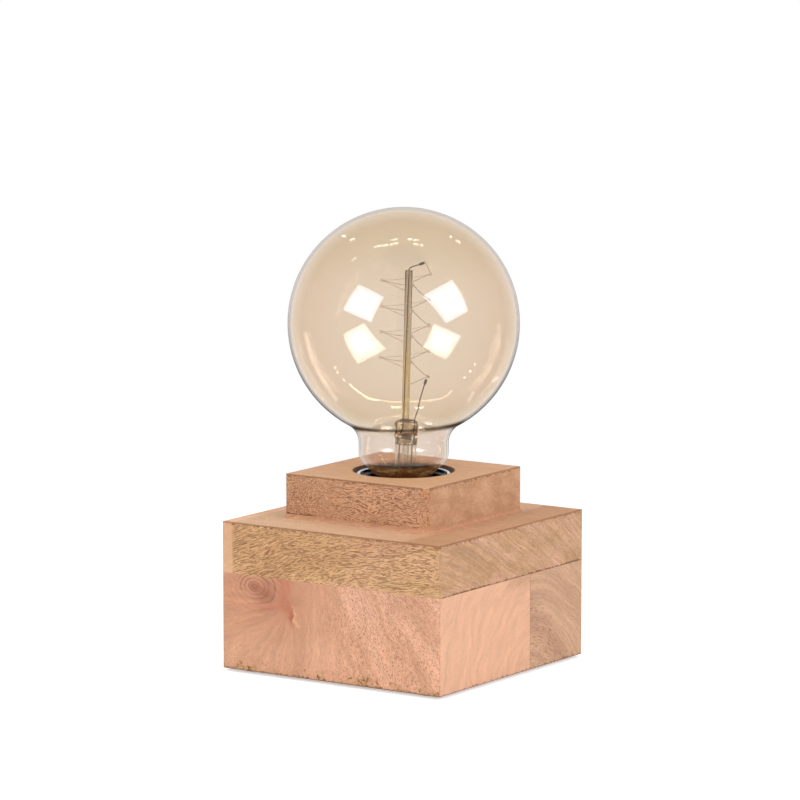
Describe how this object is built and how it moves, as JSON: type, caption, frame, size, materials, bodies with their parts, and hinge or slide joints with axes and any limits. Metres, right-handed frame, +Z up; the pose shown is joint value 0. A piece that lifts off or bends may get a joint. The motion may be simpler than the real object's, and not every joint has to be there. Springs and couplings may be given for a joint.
{
  "type": "table lamp",
  "caption": "Table lamp: a bare clear-amber globe bulb with a wound filament, screwed into a steel cup sunk in a stepped block of glued wood.",
  "frame": {"origin": "floor level, under the middle of the wooden block", "axes": "+Z up along the bulb's axis; -Y is the side whose whole width is one board and +Y the side with the cord hole"},
  "size_m": [0.141, 0.141, 0.249],
  "materials": {
    "mango_wood_pink": "sanded, unvarnished",
    "mango_wood_tan": "sanded, unvarnished",
    "fibreboard": "smooth hard fibreboard",
    "felt": "felt",
    "black_phenolic": "glossy black",
    "chromed_steel": "bright",
    "zinc_steel": "zinc plated",
    "brass": "bright",
    "solder": "dull",
    "black_glass": "glossy",
    "cement": "matte",
    "amber_glass": "clear, faint amber",
    "clear_glass": "clear",
    "lead_wire": "dark wire",
    "filament_wire": "dark coiled wire"
  },
  "bodies": {
    "base": {"lower_front_board": "mango_wood_pink", "lower_rear_board": "mango_wood_tan", "middle_plate": "mango_wood_tan", "top_block": "mango_wood_tan", "base_cover": "fibreboard", "cover_screws": "zinc_steel", "felt_pads": "felt", "cord_bush": "black_phenolic", "socket_cup": "chromed_steel", "cup_liner": "black_phenolic", "holder_insert": "black_phenolic", "screw_shell": "brass", "insert_screws": "zinc_steel", "shell_terminal": "brass", "contact_terminal": "brass", "terminal_screws": "zinc_steel", "contact_foot": "brass", "foot_rivet": "brass", "nipple": "zinc_steel", "cup_nut": "zinc_steel", "web_washer": "zinc_steel", "web_nut": "zinc_steel"},
    "contact_spring": {"contact_tongue": "brass"},
    "bulb_foot": {"cap_contact": "solder", "cap_insulator": "black_glass"},
    "bulb": {"cap_shell": "brass", "cap_cement": "cement", "glass_envelope": "amber_glass", "stem_tube": "clear_glass", "stem_press": "clear_glass", "exhaust_tube": "clear_glass", "support_tube": "amber_glass", "long_lead": "lead_wire", "short_lead": "lead_wire", "lead_clamps": "lead_wire", "support_hooks": "lead_wire", "filament": "filament_wire"}
  },
  "joints": [
    {"name": "bulb_rise", "type": "slide", "parent": "base", "child": "bulb_foot", "axis": [0, 0, 1], "range_m": [0, 0.0192]},
    {"name": "bulb_turn", "type": "hinge", "parent": "bulb_foot", "child": "bulb", "pos_m": [0, 0, 0.0711], "axis": [0, 0, 1], "range_deg": [0, 1890]},
    {"name": "contact_press", "type": "hinge", "parent": "base", "child": "contact_spring", "pos_m": [-0.007, 0, 0.0652], "axis": [0, 1, 0], "range_deg": [0, 8], "stiffness_Nm_per_rad": 0.02, "springref_deg": -20.05}
  ],
  "couplings": [
    {"joint": "bulb_rise", "follows": "bulb_turn", "m_per_rad": 0.00057757}
  ]
}
